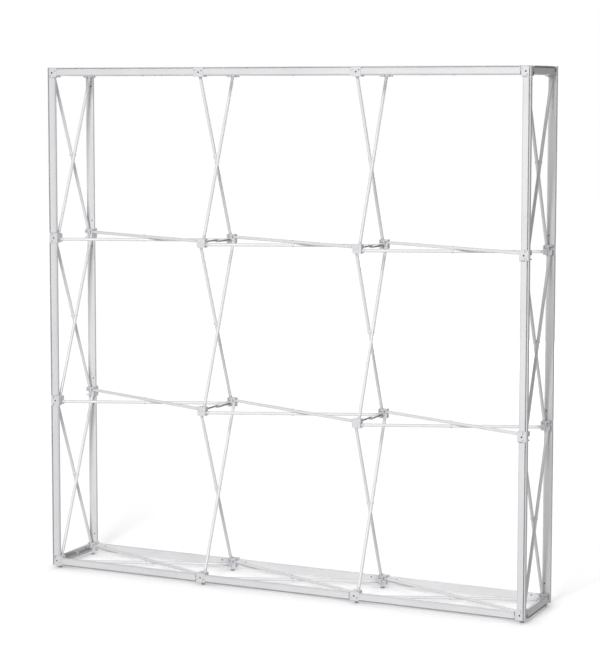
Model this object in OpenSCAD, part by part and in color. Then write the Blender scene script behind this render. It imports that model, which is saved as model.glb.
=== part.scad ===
// Pop up display backwall, three bays wide and three bays high.
// A lattice of crossed tubes joins sixteen front hubs to sixteen back hubs. Channel bars, which take the
// edge of a fabric cover, close the front, the back and the ends, and locking arms hold it all open.
// X runs across, the front faces -Y and Z is up. The feet stand on Z = 0 and the frame is centred on X and Y.
// Sizes are in millimetres.

/* [Lattice] */
// Distance from one hub centre to the next, across and up
hub_pitch = 735; // [600:5:800]
// Distance from a front hub's centre to the back hub's centre
hub_depth = 285; // [260:5:340]
// Height of the bottom hubs' centres above the floor
hub_height = 36; // [34:0.5:45]

/* [Hubs] */
// Width and height of a hub's square face
hub_w = 40; // [38:0.5:42]
// Thickness of a hub, front to back
hub_t = 26; // [24:0.5:30]
// Radius of a hub's corners
hub_corner = 3; // [1:0.5:5]
// Thickness of the plate that closes the hub's outer face
hub_plate = 3; // [2:0.5:4]
// Width of the solid core between facing slots
hub_core = 11; // [10:0.5:12]
// Distance from the hub's centre to the pins in its slots
pin_reach = 12.5; // [12:0.25:13.5]
// Side of one shallow recess in the hub's face
recess_w = 9; // [6:0.5:10]
// Depth of the recesses in the hub's face
recess_depth = 1.2; // [0.4:0.1:1.6]

/* [Tubes] */
// Outside diameter of the lattice tubes
tube_d = 13.5; // [12:0.25:14]
// Wall of the lattice tubes
tube_wall = 1.2; // [0.8:0.1:2]
// Gap between the two tubes of a crossed pair
tube_gap = 1; // [0.6:0.1:1.4]
// Distance from a hub pin to the shoulder that the tube's end meets
fitting_reach = 20; // [17:0.5:30]
// Length of the fitting's spigot inside the tube
spigot_len = 15; // [8:1:30]

/* [Pins, rivets and screws] */
// Diameter of the hub, arm and bar pins
pin_d = 3; // [2.4:0.1:3.4]
// How far a pin's end lies below the surface
pin_inset = 0.5; // [0.2:0.1:1]
// Diameter of the rivet where two tubes cross
rivet_d = 4; // [3:0.1:5]
// Diameter of a crossing rivet's head
rivet_head_d = 9; // [7:0.5:11]
// Thickness of a crossing rivet's head
rivet_head_t = 1.8; // [1:0.1:3]
// Diameter of the saddle washer between crossed tubes
saddle_d = 17; // [14:0.5:22]
// Thickness of the saddle washer at its flanks
saddle_t = 9; // [5:0.5:12]
// Diameter of the block screws
screw_d = 4; // [3:0.1:4.5]
// Diameter of a block screw's head
screw_head_d = 6.6; // [6:0.1:7]
// Thickness of a block screw's head
screw_head_t = 2; // [1.5:0.1:2.5]

/* [Channel bars] */
// Distance from the hubs' centre line to the bar's outer edge
bar_out = 22.6; // [21.6:0.1:24]
// Distance from the hubs' centre line to the bar's inner edge
bar_in = 13.4; // [12:0.1:16]
// Distance from the hub centres to the front of the groove's ridge
ridge_front = 31; // [30:0.1:32]
// Distance from the hub centres to the back of the ridge
ridge_back = 13.3; // [13.2:0.1:14]
// How far the ridge stands proud of the flat face of the bar
face_step = 0.6; // [0.3:0.1:3]
// Distance from the hub centres to the back of the flat part
flange_back = 15; // [14.5:0.1:16]
// Width of the ridge that holds the groove
ridge_w = 9.6; // [9:0.1:11]
// Width of the ridge's inner lip at its front
groove_lip = 0.6; // [0.5:0.1:0.8]
// Size of the chamfer on the outer lip
lip_edge = 1.8; // [0.5:0.1:2.2]
// Width of the slope between the flat face and the ridge
slope_w = 3; // [2:0.1:8]
// Width of the chamfer on the bar's inner edge
edge_w = 4.4; // [2:0.1:6]
// Depth of the chamfer on the bar's inner edge
edge_depth = 5; // [2:0.1:7]
// Wall of the extruded bar
bar_wall = 1.6; // [1.2:0.1:2]
// Width of the groove for the fabric's edge strip
groove_w = 6; // [3:0.1:6.4]
// Depth of the groove
groove_depth = 13.5; // [10:0.1:15]
// How far the bottom of the groove widens on each side
groove_key = 0.5; // [0.2:0.1:0.6]
// Height of the widened bottom of the groove
groove_key_h = 4; // [2:0.1:6]

/* [Bar ends] */
// Distance from the hub centres to the bar's hinge pins, front to back
hinge_front = 22; // [21.6:0.1:22.4]
// Distance from the bar's centre line to the middle of its tongue
tongue_out = 7; // [6.6:0.1:7.2]
// Thickness of the tongue on a bar's end
tongue_t = 5.4; // [4:0.1:6]
// Radius of the tongue's round end
tongue_r = 3.2; // [2.8:0.1:3.3]
// Length of the end plug inside the bar
plug_len = 44; // [40:1:70]
// Distance from the hub's centre to the rivet that holds a plug
plug_rivet_at = 60; // [50:1:64]
// Diameter of the plug rivet's head
plug_rivet_d = 5.6; // [4:0.1:7]
// Thickness of the plug rivet's head
plug_rivet_t = 1.1; // [0.6:0.1:1.6]
// Distance from the bar's centre line to the plug rivet, towards the inner edge
plug_rivet_in = 3.4; // [2:0.1:5]

/* [Blocks] */
// Distance from the hub's centre to the block's end, along the bar
block_reach = 23.4; // [23:0.1:26]
// Distance from the bar's centre line to the block's inner edge
block_drop = 19.6; // [18:0.1:22]
// How far the block's flat face lies below the bar's ridge
block_step = 0.3; // [0.1:0.1:3]
// Size of the chamfer on a block's outer front edge
block_edge = 4; // [2:0.1:5]
// Size of the chamfer on a corner block's inner corner
block_chamfer = 9; // [4:0.5:12]
// Depth of the screw head's recess in the block
screw_sink = 3; // [2.6:0.1:3.5]
// Diameter of the screw head's recess
sink_d = 7.6; // [7.2:0.1:8]

/* [Locking arms] */
// Width of an arm
arm_w = 7; // [6:0.5:8]
// Thickness of an arm
arm_t = 5.8; // [5:0.1:6]
// Gap from the middle plane to an arm
arm_gap = 0.6; // [0.5:0.1:0.8]
// Width of the knuckle where the arms hook together
knuckle_w = 11; // [9:0.5:12]
// Length of the knuckle before the hook
knuckle_len = 14; // [8:0.5:20]
// Length of a hook's rib, front to back
hook_len = 4.4; // [3:0.1:6]
// How far a hook's rib passes the middle plane
hook_reach = 2.3; // [1.5:0.1:2.6]
// Size of the chamfer on a hook's end
hook_edge = 1; // [0.5:0.1:2]
// Distance from the hub's inner face to the arm's pin
arm_pin_out = 9; // [8:0.5:12]
// Radius of an arm's round end
arm_eye_r = 4; // [3.5:0.1:4.4]
// Thickness of the bracket's ears and base
ear_t = 2.7; // [2:0.1:3]
// Diameter of the bracket's spigot in the hub
bracket_spigot_d = 5; // [4:0.1:6]
// Length of the bracket's spigot in the hub
bracket_spigot_len = 8; // [5:0.5:9]

/* [Feet] */
// Width of the foot's flange under the hub
foot_flange_w = 22; // [18:0.5:30]
// Depth of the foot's flange under the hub
foot_flange_d = 17; // [14:0.5:22]
// Thickness of the foot's flange
foot_flange_t = 3; // [2:0.1:4]
// Diameter of the foot's stem
foot_stem_d = 12; // [9:0.5:14]
// Diameter of the rubber pad
foot_pad_d = 17; // [14:0.5:22]
// Thickness of the rubber pad
foot_pad_t = 5; // [3:0.5:7]
// Diameter of the peg that holds the pad
foot_peg_d = 6; // [4:0.5:8]
// Length of the peg that holds the pad
foot_peg_len = 3; // [1.5:0.1:2.9]

/* [Clearances] */
// Radial gap between a pin and what turns on it
running_gap = 0.05; // [0.02:0.01:0.1]
// Gap between a fitting or a tongue and the walls of its slot
slot_gap = 0.4; // [0.3:0.05:0.45]
// Gap between pieces that pass each other
pass_gap = 0.3; // [0.25:0.05:0.4]
// Gap between a bar's end and its block or hub
end_gap = 0.4; // [0.3:0.05:0.6]
// Gap between curved pieces that rest on each other
seat_gap = 0.05; // [0.02:0.01:0.1]

/* [Hidden] */

$fn = 48;
// Cuts run past the surface by this much
eps = 0.1;
// Bays each way, which the node list is written for
bays = 3;
half_span = bays * hub_pitch / 2;
face_y = hub_depth / 2;
middle_z = hub_height + half_span;

// Crossed tubes: each lies half a tube and half the gap off the pair's middle plane
pair_offset = (tube_d + tube_gap) / 2;
slot_w = tube_d + 2 * slot_gap;
pin_run = hub_pitch - 2 * pin_reach;
pin_span = sqrt(pin_run * pin_run + hub_depth * hub_depth);
tube_angle = atan2(hub_depth, pin_run);
tube_len = pin_span - 2 * fitting_reach;
eye_r = pin_reach - hub_core / 2 - slot_gap;
// A hub pin starts just inside the hub's side, and its hole stops this far short of the next slot
pin_end_wall = 1.5;
pin_from = -hub_w / 2 + pin_inset;
pin_to = hub_core / 2 - pin_end_wall;

// Bar ends: a block is rounded about the hinge pin, so that the bar's end face swings round it
bar_end = block_reach + end_gap;
hinge_swing = ridge_front - hinge_front + end_gap;
hinge_at = bar_end - hinge_swing;
bar_len = hub_pitch - 2 * bar_end;
// An end bar's pin is in the hub, and its end face clears the hub's corner as it swings
hub_corner_reach = sqrt(pow(hub_w / 2 - pin_reach, 2) + pow(hub_t / 2, 2));
end_bar_end = hub_corner_reach + end_gap;
end_bar_len = hub_depth - 2 * end_bar_end;
// The end bars lie flush with the corner's side, so they sit this much nearer to the hubs
end_bar_shift = ridge_front - bar_out;
ridge_in = bar_out - ridge_w;
groove_in = ridge_in + groove_lip;
flange_front = ridge_front - face_step;
block_front = ridge_front - block_step;
// Floor of the slot that a tongue turns in
slot_floor = hinge_front - tongue_r - slot_gap;

// Cross recess of a screw
screw_cross_w = 0.6 * screw_head_d;
screw_cross_t = 0.8;

// Locking arms: pins stand out from the hubs' inner faces
arm_pin_y = face_y - hub_t / 2 - arm_pin_out;
arm_top = arm_gap + arm_t;
// The screw stops short of the bracket's spigot, in the hub's core
screw_end = hub_t / 2 - bracket_spigot_len - 3 * pass_gap - eps;
// Depth of a rivet's hold in its plug
plug_rivet_hold = 4;
// Length of a tongue's root inside its plug
tongue_root = 6;
// The hinge pin goes in from the block's inner edge and ends this far past the tongue
hinge_pin_past = 3;
hinge_pin_low = pin_inset - block_drop;
hinge_pin_high = tongue_out + tongue_t / 2 + hinge_pin_past;
// Height of the flare at the foot of a rubber pad
foot_pad_flare = 1;
// Hubs that carry a locking arm, as [column, row] from the bottom left
arm_hubs = [[0, 3], [3, 3], [1, 2], [2, 2], [1, 1], [2, 1], [0, 0], [3, 0]];

function hub_x(i) = i * hub_pitch - half_span;
function hub_z(j) = j * hub_pitch + hub_height;

// ---- Placing ----

// Puts a piece made for a front hub at column i, row j
module at_front(i, j) {
    translate([hub_x(i), -face_y, hub_z(j)]) children();
}

// Back hubs are the same moulding, turned over about X
module at_back(i, j) {
    translate([hub_x(i), face_y, hub_z(j)]) rotate([180, 0, 0]) children();
}

// The middle of each crossed pair that lies level, with its tubes along X
module at_level_pairs() {
    for (i = [0 : bays - 1], j = [0 : bays])
        translate([hub_x(i) + hub_pitch / 2, 0, hub_z(j)]) children();
}

// The middle of each crossed pair that stands upright
module at_upright_pairs() {
    for (i = [0 : bays], j = [0 : bays - 1])
        translate([hub_x(i), 0, hub_z(j) + hub_pitch / 2]) rotate([0, -90, 0]) children();
}

// Edge 0 is the top, 1 the right, 2 the bottom and 3 the left of a face, seen from outside.
// Along the edge, place counts hub pitches from the middle, clockwise. The back is the front turned about Z.
module on_edge(back, edge, place) {
    rotate([0, 0, back ? 180 : 0])
        translate([0, -face_y, middle_z]) rotate([0, 90 * edge, 0])
            translate([place * hub_pitch, 0, half_span]) children();
}

// ---- Hubs ----

// One slot of a hub, on its +X side, with the hole for its pin
module hub_slot() {
    translate([hub_core / 2, hub_plate - hub_t / 2, -pair_offset - slot_w / 2])
        cube([hub_w, hub_t, slot_w]);
    translate([pin_reach, 0, pin_from - hub_w])
        cylinder(d = pin_d + 2 * running_gap, h = pin_to - pin_from + hub_w);
}

module rounded_square(w, r) {
    square([w - 2 * r, w], center = true);
    square([w, w - 2 * r], center = true);
    for (x = [-1, 1], z = [-1, 1])
        translate([x * (w / 2 - r), z * (w / 2 - r)]) circle(r);
}

// Hub moulding: four slots set like a pinwheel, so that crossed tubes pass each other
module hub(with_screw) {
    recess_step = (hub_w - 2 * hub_corner) / 3;
    difference() {
        rotate([90, 0, 0]) linear_extrude(hub_t, center = true) rounded_square(hub_w, hub_corner);
        for (turn = [0 : 3])
            rotate([0, 90 * turn, 0]) hub_slot();
        translate([0, hub_t / 2 + eps, 0]) rotate([90, 0, 0])
            cylinder(d = bracket_spigot_d + 2 * running_gap, h = bracket_spigot_len + pass_gap + eps);
        if (with_screw)
            translate([0, -screw_end, 0]) rotate([90, 0, 0])
                cylinder(d = screw_d + 2 * running_gap, h = hub_t);
        for (x = [-1 : 1], z = [-1 : 1])
            if (!with_screw || x != 0 || z != 0)
                translate([x * recess_step - recess_w / 2, -hub_t / 2 - eps, z * recess_step - recess_w / 2])
                    cube([recess_w, recess_depth + eps, recess_w]);
    }
}

function on_rim(i, j) = i == 0 || i == bays || j == 0 || j == bays;

module front_hubs() {
    color("#dcdce4")
        for (i = [0 : bays], j = [0 : bays])
            at_front(i, j) hub(on_rim(i, j));
}

module back_hubs() {
    color("#d6d6de")
        for (i = [0 : bays], j = [0 : bays])
            at_back(i, j) hub(on_rim(i, j));
}

// ---- Crossed tubes ----

module tube() {
    rotate([0, 90, 0]) difference() {
        cylinder(d = tube_d, h = tube_len, center = true);
        cylinder(d = tube_d - 2 * tube_wall, h = tube_len + 2 * eps, center = true);
        rotate([0, 90, 0]) cylinder(d = rivet_d + 2 * running_gap, h = 2 * tube_d, center = true);
    }
}

// Frames of the two tubes of a pair: one runs from front to back, the other from back to front
module front_to_back() {
    translate([0, 0, -pair_offset]) rotate([0, 0, tube_angle]) children();
}

module back_to_front() {
    translate([0, 0, pair_offset]) rotate([0, 0, -tube_angle]) children();
}

module lower_cross_tubes() {
    color("#d2d2d6") at_level_pairs() front_to_back() tube();
}

module upper_cross_tubes() {
    color("#d8d8dc") at_level_pairs() back_to_front() tube();
}

module right_upright_tubes() {
    color("#b4b4b8") at_upright_pairs() front_to_back() tube();
}

module left_upright_tubes() {
    color("#cacace") at_upright_pairs() back_to_front() tube();
}

// Moulded end of a tube, with its pin at the origin and the tube along +X
module tube_end() {
    difference() {
        union() {
            cylinder(r = eye_r, h = tube_d - 2 * seat_gap, center = true);
            rotate([0, 90, 0]) cylinder(d = tube_d, h = fitting_reach);
            translate([fitting_reach, 0, 0]) rotate([0, 90, 0])
                cylinder(d = tube_d - 2 * tube_wall - 2 * running_gap, h = spigot_len);
        }
        cylinder(d = pin_d + 2 * running_gap, h = 2 * tube_d, center = true);
    }
}

module tube_ends() {
    for (turn = [0, 180])
        rotate([0, 0, turn]) translate([-pin_span / 2, 0, 0]) tube_end();
}

module tube_end_fittings() {
    color("#ececf0") {
        at_level_pairs() {
            front_to_back() tube_ends();
            back_to_front() tube_ends();
        }
        at_upright_pairs() {
            front_to_back() tube_ends();
            back_to_front() tube_ends();
        }
    }
}

// Rivet through the middle of a crossed pair, with a low domed head on each side
module scissor_rivet() {
    reach = pair_offset + tube_d / 2 + seat_gap;
    cylinder(d = rivet_d, h = 2 * reach, center = true);
    for (side = [0, 1])
        mirror([0, 0, side]) translate([0, 0, reach]) {
            cylinder(d = rivet_head_d, h = rivet_head_t / 2);
            translate([0, 0, rivet_head_t / 2])
                cylinder(d1 = rivet_head_d, d2 = rivet_d, h = rivet_head_t / 2);
        }
}

module scissor_rivets() {
    color("#9a9aa0") {
        at_level_pairs() scissor_rivet();
        at_upright_pairs() scissor_rivet();
    }
}

// Washer between two crossed tubes, hollowed on both sides to sit round them
module scissor_saddle() {
    bed_d = tube_d + 2 * seat_gap;
    difference() {
        cylinder(d = saddle_d, h = saddle_t, center = true);
        cylinder(d = rivet_d + 2 * running_gap, h = 2 * saddle_t, center = true);
        front_to_back() rotate([0, 90, 0]) cylinder(d = bed_d, h = 2 * saddle_d, center = true);
        back_to_front() rotate([0, 90, 0]) cylinder(d = bed_d, h = 2 * saddle_d, center = true);
    }
}

module scissor_saddles() {
    color("#dadae0") {
        at_level_pairs() scissor_saddle();
        at_upright_pairs() scissor_saddle();
    }
}

// ---- Channel bars ----

// Section of a bar: X is front to back, with the front at -X, and Y is outwards from the hubs' line
module bar_section() {
    groove_floor = ridge_front - groove_depth;
    difference() {
        polygon([
            [-flange_back, -bar_in],
            [edge_depth - flange_front, -bar_in],
            [-flange_front, edge_w - bar_in],
            [-flange_front, ridge_in - slope_w],
            [-ridge_front, ridge_in],
            [-ridge_front, bar_out - lip_edge],
            [lip_edge - ridge_front, bar_out],
            [-ridge_back, bar_out],
            [-ridge_back, ridge_in - bar_wall],
            [-flange_back, ridge_in - bar_wall]
        ]);
        // Hollow of the flat part
        polygon([
            [-flange_back - bar_wall, bar_wall - bar_in],
            [edge_depth - flange_front + bar_wall / 2, bar_wall - bar_in],
            [bar_wall - flange_front, edge_w - bar_in + bar_wall / 2],
            [bar_wall - flange_front, groove_in - bar_wall],
            [-flange_back - bar_wall, groove_in - bar_wall]
        ]);
        // Groove, wider at its bottom so that the strip stays in
        translate([-ridge_front - eps, groove_in])
            square([groove_depth + eps, groove_w]);
        translate([-groove_floor - groove_key_h, groove_in - groove_key])
            square([groove_key_h, groove_w + 2 * groove_key]);
    }
}

module bar_extrusion(len, rivet_from_end) {
    difference() {
        rotate([90, 0, 90]) linear_extrude(len, center = true) bar_section();
        for (end = [-1, 1])
            translate([end * (len / 2 - rivet_from_end), -flange_back - bar_wall - eps, -plug_rivet_in])
                rotate([-90, 0, 0]) cylinder(d = pin_d + 2 * running_gap, h = bar_wall + 2 * eps);
    }
}

// Plug inside the +X end of a bar, with the hole for its rivet. Its end face is at X = 0.
module plug_body(len, rivet_from_end) {
    wall = bar_wall + slot_gap / 2;
    low = edge_w - bar_in + wall;
    difference() {
        translate([-len, wall - flange_front, low])
            cube([len, flange_front - flange_back - 2 * wall, groove_in - wall - low]);
        translate([-rivet_from_end, -flange_back - wall + eps, -plug_rivet_in])
            rotate([90, 0, 0]) cylinder(d = pin_d + 2 * running_gap, h = plug_rivet_hold + pass_gap + eps);
    }
}

// Rivet of a plug, seen on the back of the bar, at the bar's +X end
module plug_rivet(rivet_from_end) {
    wall = bar_wall + slot_gap / 2;
    translate([-rivet_from_end, -flange_back, -plug_rivet_in]) rotate([90, 0, 0]) {
        cylinder(d = pin_d, h = wall + plug_rivet_hold);
        translate([0, 0, -plug_rivet_t - seat_gap]) cylinder(d = plug_rivet_d, h = plug_rivet_t);
        translate([0, 0, -plug_rivet_t]) cylinder(d = pin_d, h = plug_rivet_t);
    }
}

// Tongue on a plug, from the bar's end at X = 0 to X = reach. It is rooted inside the plug.
module tongue(reach, front, out) {
    translate([-tongue_root, -front - tongue_r / 2, out - tongue_t / 2])
        cube([tongue_root + reach, tongue_r, tongue_t]);
    translate([0, -front - tongue_r, out - tongue_t / 2]) cube([reach, 2 * tongue_r, tongue_t]);
}

// Tongue with a round eye that turns on a pin
module hinge_tongue(reach, front, out) {
    difference() {
        union() {
            tongue(reach, front, out);
            translate([reach, -front, out]) cylinder(r = tongue_r, h = tongue_t, center = true);
        }
        translate([reach, -front, out])
            cylinder(d = pin_d + 2 * running_gap, h = 2 * tongue_t, center = true);
    }
}

// A bar of the front or back, centred on its bay: its hinge is at -X and its nose at +X
module face_bar() {
    rivet_from_end = plug_rivet_at - bar_end;
    nose_len = hinge_swing + tongue_r - pass_gap;
    color("#e0e0e4") {
        bar_extrusion(bar_len, rivet_from_end);
        mirror([1, 0, 0]) translate([bar_len / 2, 0, 0]) {
            plug_body(plug_len, rivet_from_end);
            hinge_tongue(hinge_swing, hinge_front, tongue_out);
            plug_rivet(rivet_from_end);
        }
        // The nose snaps into the next block's slot
        translate([bar_len / 2, 0, 0]) {
            plug_body(plug_len, rivet_from_end);
            tongue(nose_len, hinge_front, tongue_out);
            plug_rivet(rivet_from_end);
        }
    }
}

// A bar of one end, between a front and a back corner hub, made for the top left.
// Its tongue turns in the front hub's spare slot, and its nose rests in the back hub's spare slot.
module end_bar() {
    front = pin_reach + end_bar_shift;
    rivet_from_end = plug_rivet_at - bar_end;
    color("#d4d4d8") translate([0, end_bar_shift, 0]) {
        bar_extrusion(end_bar_len, rivet_from_end);
        translate([end_bar_len / 2, 0, 0]) {
            plug_body(plug_len, rivet_from_end);
            hinge_tongue(end_bar_end, front, pair_offset);
            plug_rivet(rivet_from_end);
        }
        mirror([1, 0, 0]) translate([end_bar_len / 2, 0, 0]) {
            plug_body(plug_len, rivet_from_end);
            tongue(end_bar_end + tongue_r, front, -pair_offset);
            plug_rivet(rivet_from_end);
        }
    }
}

// The four end bars are one part, turned half a turn about each axis
module place_end_bar(turn) {
    translate([0, 0, middle_z]) rotate(turn)
        translate([-half_span, 0, half_span]) rotate([0, 0, -90]) end_bar();
}

// Bars are counted from the left and from the bottom, as seen from the front
module top_bar(back, n) {
    on_edge(back, 0, back ? 2 - n : n - 2) face_bar();
}

module bottom_bar(back, n) {
    on_edge(back, 2, back ? n - 2 : 2 - n) face_bar();
}

module left_bar(back, n) {
    on_edge(back, back ? 1 : 3, back ? 2 - n : n - 2) face_bar();
}

module right_bar(back, n) {
    on_edge(back, back ? 3 : 1, back ? n - 2 : 2 - n) face_bar();
}

// ---- Blocks that join the bars at the hubs ----

// Slot for a tongue or a nose, open to the front and to the block's +X end, with its pin hole
module tongue_slot() {
    slot_t = tongue_t + 2 * pass_gap;
    pin_low = -2 * block_reach;
    translate([hinge_at - tongue_r - slot_gap, -ridge_front - eps, tongue_out - slot_t / 2])
        cube([block_reach, ridge_front + eps - slot_floor, slot_t]);
    translate([hinge_at, -hinge_front, pin_low])
        cylinder(d = pin_d + 2 * running_gap, h = hinge_pin_high + pass_gap - pin_low);
}

// Screw hole with the recess for its head
module screw_hole() {
    rotate([90, 0, 0]) {
        cylinder(d = screw_d + 2 * running_gap, h = ridge_front + eps);
        translate([0, 0, block_front - screw_sink]) cylinder(d = sink_d, h = ridge_front);
    }
}

// Solid from x = -left to a block's +X end, which is rounded about the hinge pin
module rounded_run(left, low) {
    round_r = block_reach - hinge_at;
    height = low + bar_out;
    translate([-left, -hinge_front - round_r, -low])
        cube([left + hinge_at, hinge_front + round_r - hub_t / 2, height]);
    translate([-left, -hinge_front, -low]) cube([left + block_reach, hinge_front - hub_t / 2, height]);
    translate([hinge_at, -hinge_front, -low]) cylinder(r = round_r, h = height);
}

// Cuts a block down to its flat face, from x = -left and below the ridge
module flat_cut(left) {
    translate([-left, -2 * ridge_front, -2 * block_reach])
        cube([left + 2 * block_reach, 2 * ridge_front - block_front, 2 * block_reach + ridge_in]);
}

// Cuts the chamfer on a block's outer front edge, from x = -left to the +X end
module edge_cut(left, size) {
    translate([-left, 0, 0]) rotate([90, 0, 90]) linear_extrude(left + 2 * block_reach) polygon([
        [-ridge_front - eps, bar_out + eps],
        [-ridge_front - eps, bar_out - size - eps],
        [size + eps - ridge_front, bar_out + eps]
    ]);
}

// Edge block: its +X end is rounded for the bar hinged there, and its square -X end meets a bar's nose
module edge_block() {
    difference() {
        rounded_run(block_reach, block_drop);
        flat_cut(2 * block_reach);
        edge_cut(2 * block_reach, block_edge);
        screw_hole();
        tongue_slot();
        mirror([1, 0, 0]) tongue_slot();
    }
}

module edge_blocks() {
    color("#eeeef2")
        for (back = [false, true], edge = [0 : 3], n = [1 : bays - 1])
            on_edge(back, edge, n - bays / 2) edge_block();
}

// Corner block, made for the top left: the upright groove runs through it
module corner_block() {
    cut = block_reach + eps;
    difference() {
        intersection() {
            rounded_run(bar_out, block_reach);
            rotate([0, -90, 0]) mirror([1, 0, 0]) rounded_run(bar_out, block_reach);
        }
        flat_cut(ridge_in);
        edge_cut(2 * bar_out, block_edge);
        rotate([0, -90, 0]) mirror([1, 0, 0]) edge_cut(2 * bar_out, lip_edge);
        rotate([90, 0, 0]) linear_extrude(ridge_front + eps) polygon([
            [cut, -cut],
            [cut, block_chamfer - cut],
            [cut - block_chamfer, -cut]
        ]);
        translate([-groove_in - groove_w, -ridge_front - eps, -cut])
            cube([groove_w, groove_depth + eps, bar_out + block_reach + 2 * eps]);
        screw_hole();
        tongue_slot();
        rotate([0, -90, 0]) mirror([1, 0, 0]) tongue_slot();
    }
}

module corner_blocks() {
    color("#f0f0f4")
        for (back = [0, 1], right = [0, 1], low = [0, 1])
            rotate([0, 0, 180 * back]) translate([0, -face_y, middle_z])
                mirror([right, 0, 0]) mirror([0, 0, low])
                    translate([-half_span, 0, half_span]) corner_block();
}

// Screw that holds a block on its hub, with a cross recess in its head
module block_screw() {
    seat = block_front - screw_sink;
    rotate([90, 0, 0]) difference() {
        union() {
            translate([0, 0, screw_end + pass_gap]) cylinder(d = screw_d, h = seat - screw_end);
            translate([0, 0, seat + seat_gap]) cylinder(d = screw_head_d, h = screw_head_t);
        }
        for (turn = [0, 90])
            rotate([0, 0, turn]) translate([0, 0, seat + screw_head_t])
                cube([screw_cross_w, screw_cross_t, screw_head_t], center = true);
    }
}

module block_screws() {
    color("#3c3c42")
        for (i = [0 : bays], j = [0 : bays])
            if (on_rim(i, j)) {
                at_front(i, j) block_screw();
                at_back(i, j) block_screw();
            }
}

// ---- Pins ----

// Pin in the slot on a hub's +X side
module hub_pin() {
    translate([pin_reach, 0, pin_from]) cylinder(d = pin_d, h = pin_to - pin_from - pin_inset);
}

// Slots in use at column i, row j: a tube, a foot or an end bar is pinned in each.
// Turn 0 is +X, 1 is -Z, 2 is -X and 3 is +Z, and a back hub's Z is turned over.
function corner(i, j) = (i == 0 || i == bays) && (j == 0 || j == bays);
function end_bar_hinge(i, j, back) = corner(i, j) && (((i == 0) == (j == bays)) != back);
function slot_used(turn, i, j, back) =
    turn == 0 ? i < bays || end_bar_hinge(i, j, back) :
    turn == 2 ? i > 0 || end_bar_hinge(i, j, back) :
    (turn == 1) == !back ? true :
    j < bays;

module arm_pin() {
    low = arm_gap - pass_gap - ear_t + pin_inset;
    translate([0, hub_t / 2 + arm_pin_out, low])
        cylinder(d = pin_d, h = arm_t + 2 * pass_gap + 2 * ear_t - 2 * pin_inset);
}

module hinge_pin() {
    translate([hinge_at, -hinge_front, hinge_pin_low])
        cylinder(d = pin_d, h = hinge_pin_high - hinge_pin_low);
}

module pivot_pins() {
    color("#8c8c92") {
        for (i = [0 : bays], j = [0 : bays], turn = [0 : 3]) {
            if (slot_used(turn, i, j, false)) at_front(i, j) rotate([0, 90 * turn, 0]) hub_pin();
            if (slot_used(turn, i, j, true)) at_back(i, j) rotate([0, 90 * turn, 0]) hub_pin();
        }
        for (back = [false, true], edge = [0 : 3], n = [0 : bays - 1])
            on_edge(back, edge, n - bays / 2) hinge_pin();
        at_arm_hubs() arm_pin();
    }
}

// ---- Locking arms ----

// Puts a piece made for a front hub's arm at arm n. In the last column it is turned over.
module at_arm(n) {
    hub_at = arm_hubs[n - 1];
    translate([hub_x(hub_at[0]), 0, hub_z(hub_at[1])])
        rotate([0, hub_at[0] == bays ? 180 : 0, 0]) children();
}

// The front and the back hub of each pair of arms
module at_arm_hubs() {
    for (n = [1 : len(arm_hubs)], turn = [0, 180])
        at_arm(n) rotate([turn, 0, 0]) translate([0, -face_y, 0]) children();
}

// Front arm, from its pin to its hook. The back arm is the same part turned over about X.
module lock_arm() {
    half_play = pass_gap / 2;
    hook_end = half_play + hook_len;
    ceiling = hook_reach + pass_gap;
    color("#55555b") difference() {
        union() {
            translate([0, -arm_pin_y, arm_gap]) cylinder(r = arm_eye_r, h = arm_t);
            translate([-arm_w / 2, -arm_pin_y, arm_gap])
                cube([arm_w, arm_pin_y - knuckle_len + hook_edge, arm_t]);
            rotate([90, 0, 90]) linear_extrude(knuckle_w, center = true) polygon([
                [-knuckle_len, arm_gap],
                [-hook_end - pass_gap, arm_gap],
                [-hook_end - pass_gap, ceiling],
                [half_play, ceiling],
                [half_play, -hook_reach],
                [hook_end, -hook_reach],
                [hook_end, arm_top - hook_edge],
                [hook_end - hook_edge, arm_top],
                [-knuckle_len, arm_top]
            ]);
        }
        translate([0, -arm_pin_y, 0]) cylinder(d = pin_d + 2 * running_gap, h = 2 * arm_top);
    }
}

module front_lock_arm(n) {
    at_arm(n) lock_arm();
}

module back_lock_arm(n) {
    at_arm(n) rotate([180, 0, 0]) lock_arm();
}

// Bracket on a hub's inner face: two ears round the arm's end, and a spigot in the hub's core
module arm_bracket() {
    face = hub_t / 2;
    low = arm_gap - pass_gap - ear_t;
    high = arm_top + pass_gap;
    difference() {
        union() {
            translate([-arm_eye_r, face, low]) cube([2 * arm_eye_r, ear_t, high + ear_t - low]);
            for (z = [low, high]) {
                translate([-arm_eye_r, face, z]) cube([2 * arm_eye_r, arm_pin_out, ear_t]);
                translate([0, face + arm_pin_out, z]) cylinder(r = arm_eye_r, h = ear_t);
            }
            translate([0, face + ear_t / 2, 0]) rotate([90, 0, 0])
                cylinder(d = bracket_spigot_d, h = bracket_spigot_len + ear_t / 2);
        }
        translate([0, face + arm_pin_out, low - eps])
            cylinder(d = pin_d + 2 * running_gap, h = high + ear_t - low + 2 * eps);
    }
}

module arm_brackets() {
    color("#e2e2e8")
        at_arm_hubs() arm_bracket();
}

// ---- Feet ----

module at_feet() {
    for (i = [0 : bays], back = [0, 1])
        translate([hub_x(i), 0, hub_height]) rotate([0, 0, 180 * back]) translate([0, -face_y, 0]) children();
}

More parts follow.
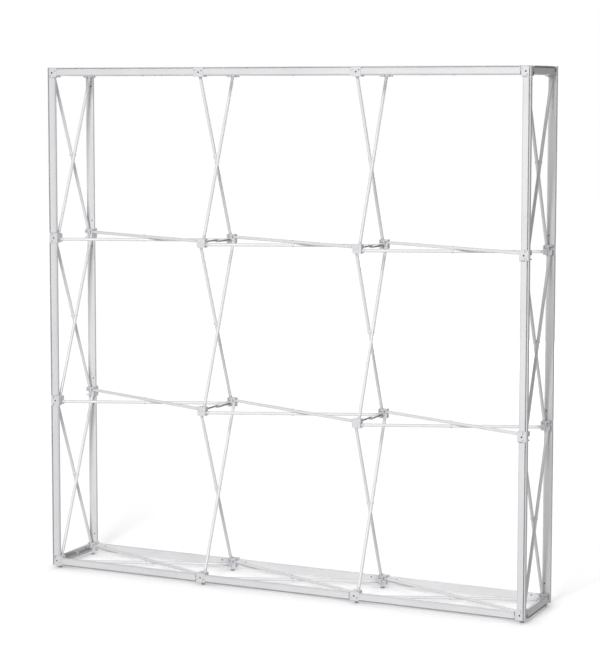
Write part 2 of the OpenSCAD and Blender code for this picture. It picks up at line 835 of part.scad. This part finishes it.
// Foot under a bottom hub: a plug pinned in the hub's lower slot, a flange, a stem and a peg for the pad
module foot_stem() {
    flange_top = -hub_w / 2;
    stem_low = foot_pad_t - hub_height;
    difference() {
        union() {
            translate([-pair_offset, 0, -pin_reach]) rotate([0, 90, 0])
                cylinder(r = eye_r, h = tube_d - 2 * seat_gap, center = true);
            translate([-pair_offset - tube_d / 2 + seat_gap, -eye_r, flange_top - eps])
                cube([tube_d - 2 * seat_gap, 2 * eye_r, hub_w / 2 - pin_reach + eps]);
            translate([-foot_flange_w / 2, -foot_flange_d / 2, flange_top - foot_flange_t])
                cube([foot_flange_w, foot_flange_d, foot_flange_t]);
            translate([0, 0, stem_low]) cylinder(d = foot_stem_d, h = flange_top - eps - stem_low);
            translate([0, 0, stem_low - foot_peg_len]) cylinder(d = foot_peg_d, h = foot_peg_len + eps);
        }
        translate([-pair_offset, 0, -pin_reach]) rotate([0, 90, 0])
            cylinder(d = pin_d + 2 * running_gap, h = 2 * tube_d, center = true);
    }
}

module foot_stems() {
    color("#dededf") at_feet() foot_stem();
}

module foot_pad() {
    peg_d = foot_peg_d + 2 * seat_gap;
    translate([0, 0, -hub_height]) difference() {
        union() {
            cylinder(d1 = foot_pad_d, d2 = foot_pad_d - foot_pad_flare, h = foot_pad_flare);
            translate([0, 0, foot_pad_flare])
                cylinder(d = foot_pad_d - foot_pad_flare, h = foot_pad_t - foot_pad_flare);
        }
        translate([0, 0, foot_pad_t - foot_peg_len - seat_gap]) cylinder(d = peg_d, h = foot_pad_t);
    }
}

module foot_pads() {
    color("#6e6e72") at_feet() foot_pad();
}

front_hubs();
back_hubs();
corner_blocks();
edge_blocks();
block_screws();
pivot_pins();
lower_cross_tubes();
upper_cross_tubes();
right_upright_tubes();
left_upright_tubes();
tube_end_fittings();
scissor_rivets();
scissor_saddles();
arm_brackets();
foot_stems();
foot_pads();
top_bar(false, 1);  // top_front_bar_1
top_bar(false, 2);  // top_front_bar_2
top_bar(false, 3);  // top_front_bar_3
bottom_bar(false, 1);  // bottom_front_bar_1
bottom_bar(false, 2);  // bottom_front_bar_2
bottom_bar(false, 3);  // bottom_front_bar_3
left_bar(false, 1);  // left_front_bar_1
left_bar(false, 2);  // left_front_bar_2
left_bar(false, 3);  // left_front_bar_3
right_bar(false, 1);  // right_front_bar_1
right_bar(false, 2);  // right_front_bar_2
right_bar(false, 3);  // right_front_bar_3
top_bar(true, 1);  // top_back_bar_1
top_bar(true, 2);  // top_back_bar_2
top_bar(true, 3);  // top_back_bar_3
bottom_bar(true, 1);  // bottom_back_bar_1
bottom_bar(true, 2);  // bottom_back_bar_2
bottom_bar(true, 3);  // bottom_back_bar_3
left_bar(true, 1);  // left_back_bar_1
left_bar(true, 2);  // left_back_bar_2
left_bar(true, 3);  // left_back_bar_3
right_bar(true, 1);  // right_back_bar_1
right_bar(true, 2);  // right_back_bar_2
right_bar(true, 3);  // right_back_bar_3
place_end_bar([0, 0, 0]);  // top_left_end_bar
place_end_bar([0, 0, 180]);  // top_right_end_bar
place_end_bar([180, 0, 0]);  // bottom_left_end_bar
place_end_bar([0, 180, 0]);  // bottom_right_end_bar
front_lock_arm(1);  // front_lock_arm_1
front_lock_arm(2);  // front_lock_arm_2
front_lock_arm(3);  // front_lock_arm_3
front_lock_arm(4);  // front_lock_arm_4
front_lock_arm(5);  // front_lock_arm_5
front_lock_arm(6);  // front_lock_arm_6
front_lock_arm(7);  // front_lock_arm_7
front_lock_arm(8);  // front_lock_arm_8
back_lock_arm(1);  // back_lock_arm_1
back_lock_arm(2);  // back_lock_arm_2
back_lock_arm(3);  // back_lock_arm_3
back_lock_arm(4);  // back_lock_arm_4
back_lock_arm(5);  // back_lock_arm_5
back_lock_arm(6);  // back_lock_arm_6
back_lock_arm(7);  // back_lock_arm_7
back_lock_arm(8);  // back_lock_arm_8
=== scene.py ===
from math import pi, radians

import bmesh
import bpy
from mathutils import Euler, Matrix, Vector


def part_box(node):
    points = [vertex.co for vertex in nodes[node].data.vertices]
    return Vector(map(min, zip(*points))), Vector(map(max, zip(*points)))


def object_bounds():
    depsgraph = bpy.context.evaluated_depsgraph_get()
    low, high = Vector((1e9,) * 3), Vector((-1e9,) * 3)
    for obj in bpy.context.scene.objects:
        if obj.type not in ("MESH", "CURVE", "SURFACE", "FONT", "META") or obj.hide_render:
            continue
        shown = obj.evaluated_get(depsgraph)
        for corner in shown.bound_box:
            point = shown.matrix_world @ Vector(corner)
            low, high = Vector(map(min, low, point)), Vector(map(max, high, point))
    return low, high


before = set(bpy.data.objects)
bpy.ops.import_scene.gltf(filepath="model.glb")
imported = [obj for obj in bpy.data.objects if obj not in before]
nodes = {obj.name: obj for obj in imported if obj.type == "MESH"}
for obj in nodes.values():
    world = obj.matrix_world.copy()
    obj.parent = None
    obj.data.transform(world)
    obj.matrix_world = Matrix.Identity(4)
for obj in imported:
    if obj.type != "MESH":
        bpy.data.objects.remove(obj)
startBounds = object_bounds()
scene = bpy.context.scene
print("frame loaded:", len(nodes), "nodes")

noiseSpread = (0.3, 0.7)   # nearly all of a noise pattern lies between these


def newMaterial(name):
    material = bpy.data.materials.new(name)
    material.use_nodes = True
    material.node_tree.nodes.clear()
    return material


def addNode(tree, kind, place=(0, 0), **values):
    # place is only where the node stands in the shader editor
    node = tree.nodes.new(kind)
    node.location = place
    for key, value in values.items():
        setattr(node, key, value)
    return node


def objectPattern(tree, turn=(0, 0, 0), grain=(1, 1, 1), place=(-1200, 0)):
    # object coordinates turned to the piece's own axis, with the grain's size each way in metres
    coords = addNode(tree, "ShaderNodeTexCoord", (place[0] - 200, place[1]))
    mapping = addNode(tree, "ShaderNodeMapping", place, vector_type="TEXTURE")
    mapping.inputs["Rotation"].default_value = turn
    mapping.inputs["Scale"].default_value = grain
    tree.links.new(coords.outputs["Object"], mapping.inputs["Vector"])
    return mapping.outputs["Vector"]


def noiseOn(tree, vector, pattern, place):
    noise = addNode(tree, "ShaderNodeTexNoise", place)
    noise.inputs["Scale"].default_value = pattern["scale"]
    noise.inputs["Detail"].default_value = pattern["detail"]
    noise.inputs["Roughness"].default_value = pattern["roughness"]
    tree.links.new(vector, noise.inputs["Vector"])
    return noise.outputs["Fac"]


def rampOn(tree, value, tones, reach, place):
    # from the first tone to the second, over the values in reach
    ramp = addNode(tree, "ShaderNodeValToRGB", place)
    stops = ramp.color_ramp.elements
    for index in range(2):
        stops[index].position = reach[index]
        stops[index].color = (*tones[index], 1)
    tree.links.new(value, ramp.inputs["Fac"])
    return ramp.outputs["Color"]


def rangeOn(tree, value, limits, place, reach=noiseSpread):
    # from the first limit to the second, over the values in reach
    spread = addNode(tree, "ShaderNodeMapRange", place)
    spread.inputs["From Min"].default_value = reach[0]
    spread.inputs["From Max"].default_value = reach[1]
    spread.inputs["To Min"].default_value = limits[0]
    spread.inputs["To Max"].default_value = limits[1]
    tree.links.new(value, spread.inputs["Value"])
    return spread.outputs["Result"]


def blendOn(tree, first, second, share, place):
    # share of the first pattern, and the rest of the second
    blend = addNode(tree, "ShaderNodeMix", place, data_type="FLOAT")
    blend.inputs["Factor"].default_value = share
    tree.links.new(second, blend.inputs["A"])
    tree.links.new(first, blend.inputs["B"])
    return blend.outputs["Result"]


def colorBlendOn(tree, color, tone, share, place):
    # a colour mix has its colours in sockets 6 and 7 and its result in output 2
    blend = addNode(tree, "ShaderNodeMix", place, data_type="RGBA")
    blend.inputs[7].default_value = (*tone, 1)
    tree.links.new(share, blend.inputs[0])
    tree.links.new(color, blend.inputs[6])
    return blend.outputs[2]


edgeSearch = {
    "samples": 8,
    "open": (0.55, 0.9),   # how open an edge, and the plain face beside it, are to rays sent inwards
}


def wornAndHighlightedEdges(tree, color, edgeWearAndHighlight, place):
    # rays sent inwards find the outer edges, which are made lighter: on the mouldings this is wear
    # from handling, and on the aluminium it is partly wear and partly a painted highlight standing
    # in for the rounded edges
    near = addNode(tree, "ShaderNodeAmbientOcclusion", place, samples=edgeSearch["samples"],
                   inside=True, only_local=True)
    near.inputs["Distance"].default_value = edgeWearAndHighlight["reach"]
    share = rangeOn(tree, near.outputs["AO"], (edgeWearAndHighlight["share"], 0), (place[0] + 200, place[1]),
                    edgeSearch["open"])
    return colorBlendOn(tree, color, edgeWearAndHighlight["tone"], share, (place[0] + 400, place[1]))


def finishShader(tree, color, roughness, bumps, metallic=0, gloss=0.5):
    # each bump is a pattern, with its strength and its height in metres
    shader = addNode(tree, "ShaderNodeBsdfPrincipled")
    shader.inputs["Metallic"].default_value = metallic
    shader.inputs["Specular IOR Level"].default_value = gloss
    tree.links.new(color, shader.inputs["Base Color"])
    tree.links.new(roughness, shader.inputs["Roughness"])
    normal = None
    for step, (pattern, (strength, height)) in enumerate(bumps):
        bump = addNode(tree, "ShaderNodeBump", (200 * step - 500, -500))
        bump.inputs["Strength"].default_value = strength
        bump.inputs["Distance"].default_value = height
        tree.links.new(pattern, bump.inputs["Height"])
        if normal:
            tree.links.new(normal, bump.inputs["Normal"])
        normal = bump.outputs["Normal"]
    tree.links.new(normal, shader.inputs["Normal"])
    output = addNode(tree, "ShaderNodeOutputMaterial", (300, 0))
    tree.links.new(shader.outputs["BSDF"], output.inputs["Surface"])


barFinish = {
    "tones": ((0.75, 0.75, 0.765), (0.815, 0.815, 0.828)),   # dark and light
    "toneReach": (0.36, 0.60),
    "metallic": 0.05,
    "gloss": 0.2,
    "roughness": (0.42, 0.54),
    "dieLines": (0.4, 0.0011, 0.0011),   # long along the extrusion, fine across it
    "dieShare": 0.5,                     # of the tone, and clouds make up the rest
    "streaks": {"scale": 1.0, "detail": 3, "roughness": 0.6},
    "clouds": {"scale": 5.0, "detail": 4, "roughness": 0.55},
    "specks": {"scale": 900, "detail": 2, "roughness": 0.5},
    "streakBump": (0.25, 0.0004),        # strength, and height in metres
    "speckBump": (0.10, 0.0002),
    # how far in from an edge in metres, how much of the tone at the edge, and the tone
    # on the aluminium the lighter edges are partly wear and partly a painted highlight of the
    # rounded edges
    "edgeWearAndHighlight": {"reach": 0.0007, "share": 0.6, "tone": (0.93, 0.93, 0.94)},
}

# the rear bars show their inner side, which the photo has a little lighter
# painted light: the rear bars get a lighter copy of the same aluminium, standing in for light on
# their inner side
rearBarLighterCopyFinish = {**barFinish, "tones": ((0.81, 0.81, 0.825), (0.87, 0.87, 0.883))}

tubeFinish = {
    **barFinish,
    "tones": ((0.87, 0.87, 0.88), (0.91, 0.91, 0.92)),
    "metallic": 0.08,
    "gloss": 0.25,
    "roughness": (0.42, 0.56),
    "dieLines": (0.3, 0.0012, 0.0012),
    "clouds": {"scale": 8.0, "detail": 4, "roughness": 0.55},
    "streakBump": (0.2, 0.0004),
    # on the tubes the lighter edges are partly wear and partly a painted highlight of the rounded
    # edges
    "edgeWearAndHighlight": {"reach": 0.0007, "share": 0.4, "tone": (0.95, 0.95, 0.96)},
}


def aluminiumMaterial(name, finish, turn):
    material = newMaterial(name)
    tree = material.node_tree
    along = objectPattern(tree, turn, finish["dieLines"], (-1200, 0))
    plain = objectPattern(tree, place=(-1200, -400))
    streaks = noiseOn(tree, along, finish["streaks"], (-900, 0))
    clouds = noiseOn(tree, plain, finish["clouds"], (-900, -300))
    specks = noiseOn(tree, plain, finish["specks"], (-900, -600))
    mixed = blendOn(tree, streaks, clouds, finish["dieShare"], (-650, -150))
    color = rampOn(tree, mixed, finish["tones"], finish["toneReach"], (-400, 100))
    color = wornAndHighlightedEdges(tree, color, finish["edgeWearAndHighlight"], (-400, 500))
    roughness = rangeOn(tree, mixed, finish["roughness"], (-400, -200))
    bumps = [(streaks, finish["streakBump"]), (specks, finish["speckBump"])]
    finishShader(tree, color, roughness, bumps, finish["metallic"], finish["gloss"])
    return material


quarterTurn = radians(90)
crossAngle = radians(21.872)   # a tube's angle to the front of the frame
alongX = (0, 0, 0)
alongY = (0, 0, quarterTurn)
alongZ = (0, -quarterTurn, 0)
levelBar = aluminiumMaterial("level bar aluminium", barFinish, alongX)
uprightBar = aluminiumMaterial("upright bar aluminium", barFinish, alongZ)
endBar = aluminiumMaterial("end bar aluminium", barFinish, alongY)
rearLevelBarPaintedLighter = aluminiumMaterial("rear level bar aluminium painted lighter", rearBarLighterCopyFinish, alongX)
rearUprightBarPaintedLighter = aluminiumMaterial("rear upright bar aluminium painted lighter", rearBarLighterCopyFinish, alongZ)

tubeMaterials = {}
for way, turn in {
    "lower": (0, 0, crossAngle),
    "upper": (0, 0, -crossAngle),
    "right": (0, crossAngle - quarterTurn, quarterTurn),
    "left": (0, crossAngle - quarterTurn, -quarterTurn),
}.items():
    tubeMaterials[way] = aluminiumMaterial(way + " tube aluminium", tubeFinish, turn)
print("aluminium finishes made")


hubPlastic = {
    "tones": ((0.71, 0.71, 0.73), (0.79, 0.79, 0.81)),
    "toneReach": (0.32, 0.60),
    "roughness": (0.42, 0.60),
    "clouds": {"scale": 40, "detail": 4, "roughness": 0.6},      # in the tone
    "flow": {"scale": 170, "detail": 3, "roughness": 0.65},      # in the roughness and the bumps
    "grain": 1400,   # cells of the mould's grain in a metre
    "grainBump": (0.22, 0.0003),
    "flowBump": (0.08, 0.0006),
    "edgeWearAndHighlight": {"reach": 0.0008, "share": 0.6, "tone": (0.90, 0.90, 0.92)},
}

blockPlastic = {
    **hubPlastic,
    "tones": ((0.74, 0.74, 0.76), (0.785, 0.785, 0.805)),
    "roughness": (0.36, 0.52),
    "grain": 1600,
}

fittingPlastic = {
    **hubPlastic,
    "tones": ((0.73, 0.73, 0.755), (0.80, 0.80, 0.825)),
    "roughness": (0.38, 0.55),
    "grain": 1500,
    "edgeWearAndHighlight": {"reach": 0.0008, "share": 0.5, "tone": (0.90, 0.90, 0.92)},
}

footPlastic = {
    **hubPlastic,
    "tones": ((0.70, 0.70, 0.725), (0.78, 0.78, 0.80)),
    "edgeWearAndHighlight": {"reach": 0.0008, "share": 0.6, "tone": (0.88, 0.88, 0.90)},
}

armPlastic = {
    **hubPlastic,
    "tones": ((0.24, 0.24, 0.25), (0.34, 0.34, 0.35)),
    "roughness": (0.40, 0.62),
    "grain": 1200,
    "edgeWearAndHighlight": {"reach": 0.0008, "share": 0.5, "tone": (0.62, 0.62, 0.63)},
    "hookTone": (0.72, 0.72, 0.73),
    "hookReach": (0.0135, 0.0125),   # metres from the middle of the frame's depth
}

padRubber = {
    **hubPlastic,
    "tones": ((0.24, 0.24, 0.245), (0.34, 0.34, 0.345)),
    "roughness": (0.7, 0.9),
    "grain": 900,
    "edgeWearAndHighlight": {"reach": 0.0008, "share": 0.5, "tone": (0.46, 0.46, 0.465)},
}


def hookColor(tree, color, finish):
    # the hooked ends of the arms, at the middle of the frame's depth, are pale
    coords = addNode(tree, "ShaderNodeTexCoord", (-1400, 600))
    parts = addNode(tree, "ShaderNodeSeparateXYZ", (-1200, 600))
    tree.links.new(coords.outputs["Object"], parts.inputs[0])
    away = addNode(tree, "ShaderNodeMath", (-1000, 600), operation="ABSOLUTE")
    tree.links.new(parts.outputs["Y"], away.inputs[0])
    share = rangeOn(tree, away.outputs[0], (0, 1), (-800, 600), finish["hookReach"])
    return colorBlendOn(tree, color, finish["hookTone"], share, (-150, 400))


def mouldedMaterial(name, finish):
    material = newMaterial(name)
    tree = material.node_tree
    plain = objectPattern(tree)
    clouds = noiseOn(tree, plain, finish["clouds"], (-900, 200))
    flow = noiseOn(tree, plain, finish["flow"], (-900, -100))
    grain = addNode(tree, "ShaderNodeTexVoronoi", (-900, -400))
    grain.inputs["Scale"].default_value = finish["grain"]
    tree.links.new(plain, grain.inputs["Vector"])
    color = rampOn(tree, clouds, finish["tones"], finish["toneReach"], (-400, 200))
    if "hookTone" in finish:
        color = hookColor(tree, color, finish)
    color = wornAndHighlightedEdges(tree, color, finish["edgeWearAndHighlight"], (-400, 800))
    roughness = rangeOn(tree, flow, finish["roughness"], (-400, -100))
    bumps = [(grain.outputs["Distance"], finish["grainBump"]), (flow, finish["flowBump"])]
    finishShader(tree, color, roughness, bumps)
    return material


hubMoulding = mouldedMaterial("hub moulding", hubPlastic)
blockMoulding = mouldedMaterial("block moulding", blockPlastic)
fittingMoulding = mouldedMaterial("fitting moulding", fittingPlastic)
armMoulding = mouldedMaterial("arm moulding", armPlastic)
footMoulding = mouldedMaterial("foot moulding", footPlastic)
padMoulding = mouldedMaterial("pad rubber", padRubber)
print("moulded finishes made")


pinSteel = {
    "tones": ((0.40, 0.40, 0.42), (0.62, 0.62, 0.64)),
    "toneReach": (0.35, 0.65),
    "metallic": 0.9,
    "roughness": (0.22, 0.42),
    "clouds": {"scale": 220, "detail": 4, "roughness": 0.6},
    "scratches": {"scale": 1500, "detail": 2, "roughness": 0.7},
    "scratchBump": (0.12, 0.0002),
}

screwSteel = {
    **pinSteel,
    "tones": ((0.025, 0.025, 0.028), (0.060, 0.060, 0.066)),
    "roughness": (0.32, 0.5),
}


def steelMaterial(name, finish):
    material = newMaterial(name)
    tree = material.node_tree
    plain = objectPattern(tree)
    clouds = noiseOn(tree, plain, finish["clouds"], (-900, 200))
    scratches = noiseOn(tree, plain, finish["scratches"], (-900, -100))
    color = rampOn(tree, clouds, finish["tones"], finish["toneReach"], (-400, 200))
    roughness = rangeOn(tree, scratches, finish["roughness"], (-400, -100))
    finishShader(tree, color, roughness, [(scratches, finish["scratchBump"])], finish["metallic"])
    return material


plainSteel = steelMaterial("plain steel", pinSteel)
blackSteel = steelMaterial("black steel", screwSteel)
print("steel finishes made")


nodeFinishes = {
    "front_hubs": hubMoulding,
    "back_hubs": hubMoulding,
    "corner_blocks": blockMoulding,
    "edge_blocks": blockMoulding,
    "block_screws": blackSteel,
    "pivot_pins": plainSteel,
    "lower_cross_tubes": tubeMaterials["lower"],
    "upper_cross_tubes": tubeMaterials["upper"],
    "right_upright_tubes": tubeMaterials["right"],
    "left_upright_tubes": tubeMaterials["left"],
    "tube_end_fittings": fittingMoulding,
    "scissor_rivets": plainSteel,
    "scissor_saddles": fittingMoulding,
    "arm_brackets": hubMoulding,
    "foot_stems": footMoulding,
    "foot_pads": padMoulding,
}


def finishFor(name):
    if name in nodeFinishes:
        return nodeFinishes[name]
    if "lock_arm" in name:
        return armMoulding
    if "end_bar" in name:
        return endBar
    level = name.startswith(("top", "bottom"))
    if "back_bar" in name:
        return rearLevelBarPaintedLighter if level else rearUprightBarPaintedLighter
    return levelBar if level else uprightBar


def setFinish(piece, *materials):
    piece.data.materials.clear()
    for material in materials:
        piece.data.materials.append(material)


barPlaces = {
    "tonguePast": 0.0124,             # from a bar's end to the end of its tongue
    "endTonguePast": 0.0186,
    "endSlack": 0.0003,               # either side of a bar's end
    "plugDepth": (0.0034, 0.0154),    # the plug's section, from the bar's rear plane
    "plugDrop": (0.0107, 0.0299),     # and from the bar's outer edge
    "rivetDepth": 0.00165,
    "rivetDrop": 0.015,
}
plugSlot, rivetSlot = 1, 2
objectMiddle = (startBounds[0] + startBounds[1]) / 2


def finishBar(piece, name, look):
    # the extrusion is aluminium, its plugs and tongues are plastic and its plug rivets are dark
    setFinish(piece, finishFor(name), fittingMoulding, blackSteel)
    low, high = (Vector(corner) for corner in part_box(name))
    size = high - low
    middle = (low + high) / 2
    isEndBar = "end_bar" in name
    along = max(range(3), key=lambda axis: size[axis])
    depth = 0 if isEndBar else 1
    edge = 3 - along - depth
    rear = min(low[depth], high[depth], key=lambda place: abs(place - objectMiddle[depth]))
    outer = max(low[edge], high[edge], key=lambda place: abs(place - objectMiddle[edge]))
    endPlane = size[along] / 2 - look["endTonguePast" if isEndBar else "tonguePast"]

    def inPlug(place):
        rearGap = abs(place[depth] - rear)
        outerGap = abs(place[edge] - outer)
        return (look["plugDepth"][0] < rearGap < look["plugDepth"][1]
                and look["plugDrop"][0] < outerGap < look["plugDrop"][1])

    for polygon in piece.data.polygons:
        center = polygon.center
        pastEnd = abs(center[along] - middle[along]) - endPlane
        corners = [piece.data.vertices[index].co for index in polygon.vertices]
        nearRear = abs(center[depth] - rear) < look["rivetDepth"]
        if nearRear and abs(center[edge] - outer) > look["rivetDrop"]:
            polygon.material_index = rivetSlot
        elif pastEnd > look["endSlack"]:
            polygon.material_index = plugSlot
        elif pastEnd > -look["endSlack"] and all(inPlug(place) for place in corners):
            polygon.material_index = plugSlot


for name, piece in nodes.items():
    if name.endswith("bar") or "_bar_" in name:
        finishBar(piece, name, barPlaces)
    else:
        setFinish(piece, finishFor(name))
print("finishes set on", len(nodes), "nodes")


lightLook = {
    "skyStrength": 0.20,
    "aim": Vector((0, 0, 1.15)),
    "boxes": {
        "front softbox": {"place": Vector((1.0, -8.4, 3.9)), "size": 2.2, "power": 508},
        "back softbox": {"place": Vector((-1.0, 8.4, 2.6)), "size": 5.0, "power": 250},
    },
}

floorLook = {
    "reach": 30.0,
    "tones": (0.92, 0.40),     # near the frame and far from it
    "toneReach": (1.5, 5.0),
    "nearReach": 0.09,         # how far the soft shade beside a piece goes
    "nearSamples": 8,
    "white": 1.03,
}


def mathOn(tree, operation, first, second, place, clamp=False):
    node = addNode(tree, "ShaderNodeMath", place, operation=operation, use_clamp=clamp)
    for socket, value in zip(node.inputs, (first, second)):
        if isinstance(value, bpy.types.NodeSocket):
            tree.links.new(value, socket)
        else:
            socket.default_value = value
    return node.outputs[0]


def seenRays(tree, place):
    # 1 for what the camera, a reflection or a clear piece sees, and 0 for the light on the object
    path = addNode(tree, "ShaderNodeLightPath", place)
    seen = path.outputs["Is Camera Ray"]
    for step, kind in enumerate(("Is Glossy Ray", "Is Transmission Ray"), 1):
        seen = mathOn(tree, "MAXIMUM", seen, path.outputs[kind], (place[0] + 200 * step, place[1]))
    return seen


def lampShare(tree, spot, box, aim, place):
    # the light a softbox gives the floor, from its power, its height, its own angle and the distance
    heading = (aim - box["place"]).normalized()
    left, top = place
    away = addNode(tree, "ShaderNodeVectorMath", place, operation="SUBTRACT")
    away.inputs[1].default_value = box["place"]
    tree.links.new(spot, away.inputs[0])
    ahead = addNode(tree, "ShaderNodeVectorMath", (left + 200, top), operation="DOT_PRODUCT")
    ahead.inputs[1].default_value = heading * box["power"] * box["place"].z / pi ** 2
    tree.links.new(away.outputs["Vector"], ahead.inputs[0])
    square = addNode(tree, "ShaderNodeVectorMath", (left + 200, top - 200), operation="DOT_PRODUCT")
    for socket in square.inputs[:2]:
        tree.links.new(away.outputs["Vector"], socket)
    facing = mathOn(tree, "MAXIMUM", ahead.outputs["Value"], 0, (left + 400, top))
    # a wide lamp gives less close by than its distance alone would say
    ownReach = box["size"] ** 2 / pi
    reach = mathOn(tree, "ADD", square.outputs["Value"], ownReach, (left + 400, top - 200))
    fall = mathOn(tree, "POWER", reach, -2, (left + 600, top - 200))
    return mathOn(tree, "MULTIPLY", facing, fall, (left + 800, top))


def makeFloor(look, light):
    shape = bmesh.new()
    bmesh.ops.create_grid(shape, x_segments=1, y_segments=1, size=look["reach"])
    mesh = bpy.data.meshes.new("floor")
    shape.to_mesh(mesh)
    shape.free()
    floor = bpy.data.objects.new("floor", mesh)
    scene.collection.objects.link(floor)
    material = newMaterial("pale floor")
    tree = material.node_tree
    # the floor's own light makes up what the lamps and the sky leave short of white, and its
    # shadows stay
    spot = objectPattern(tree, place=(-2200, -200))
    reach = addNode(tree, "ShaderNodeVectorMath", (-2000, 200), operation="LENGTH")
    tree.links.new(spot, reach.inputs[0])
    tone = rangeOn(tree, reach.outputs["Value"], look["tones"], (-1800, 200), look["toneReach"])
    fromAbove = light["skyStrength"]
    for step, box in enumerate(light["boxes"].values()):
        share = lampShare(tree, spot, box, light["aim"], (-2000, -100 - 450 * step))
        fromAbove = mathOn(tree, "ADD", share, fromAbove, (-1200 + 200 * step, -100))
    lit = mathOn(tree, "MULTIPLY", fromAbove, tone, (-800, -100))
    short = mathOn(tree, "SUBTRACT", look["white"], lit, (-600, -100), clamp=True)
    near = addNode(tree, "ShaderNodeAmbientOcclusion", (-600, -400), samples=look["nearSamples"])
    near.inputs["Distance"].default_value = look["nearReach"]
    shaded = mathOn(tree, "MULTIPLY", short, near.outputs["AO"], (-400, -100))
    strength = mathOn(tree, "MULTIPLY", seenRays(tree, (-1000, 400)), shaded, (-400, 200))
    glow = addNode(tree, "ShaderNodeEmission", (-200, 200))
    glow.inputs["Color"].default_value = (1, 1, 1, 1)
    tree.links.new(strength, glow.inputs["Strength"])
    diffuse = addNode(tree, "ShaderNodeBsdfDiffuse", (-200, 0))
    tree.links.new(tone, diffuse.inputs["Color"])
    both = addNode(tree, "ShaderNodeAddShader", (50, 100))
    tree.links.new(glow.outputs[0], both.inputs[0])
    tree.links.new(diffuse.outputs[0], both.inputs[1])
    output = addNode(tree, "ShaderNodeOutputMaterial", (250, 100))
    tree.links.new(both.outputs[0], output.inputs["Surface"])
    setFinish(floor, material)


def makeSky(look):
    world = bpy.data.worlds.new("studio")
    world.use_nodes = True
    scene.world = world
    tree = world.node_tree
    tree.nodes.clear()
    seen = seenRays(tree, (-1000, 200))
    strength = rangeOn(tree, seen, (look["skyStrength"], 1.0), (-300, 200), (0, 1))
    background = addNode(tree, "ShaderNodeBackground", (0, 200))
    background.inputs["Color"].default_value = (1, 1, 1, 1)
    tree.links.new(strength, background.inputs["Strength"])
    output = addNode(tree, "ShaderNodeOutputWorld", (250, 200))
    tree.links.new(background.outputs[0], output.inputs["Surface"])


def makeSoftbox(name, box, aim):
    lamp = bpy.data.lights.new(name, "AREA")
    lamp.shape = "SQUARE"
    lamp.size = box["size"]
    lamp.energy = box["power"]
    softbox = bpy.data.objects.new(name, lamp)
    softbox.location = box["place"]
    softbox.rotation_euler = (aim - box["place"]).to_track_quat("-Z", "Y").to_euler()
    softbox.visible_camera = False
    scene.collection.objects.link(softbox)


makeFloor(floorLook, lightLook)
makeSky(lightLook)
for name, box in lightLook["boxes"].items():
    makeSoftbox(name, box, lightLook["aim"])
print("floor and light made")


cameraLook = {
    "place": Vector((3.6959, -7.8289, 2.1759)),
    "turn": (radians(90 - 5.457), 0, radians(25.71)),
    "lens": 109.78,
    "sensor": 36,
    "shift": (0.0341, -0.0761),
}

cameraData = bpy.data.cameras.new("camera")
cameraData.lens = cameraLook["lens"]
cameraData.sensor_width = cameraLook["sensor"]
cameraData.shift_x, cameraData.shift_y = cameraLook["shift"]
camera = bpy.data.objects.new("camera", cameraData)
camera.location = cameraLook["place"]
camera.rotation_euler = Euler(cameraLook["turn"])
scene.collection.objects.link(camera)
scene.camera = camera
scene.view_settings.view_transform = "Standard"
print("camera set")
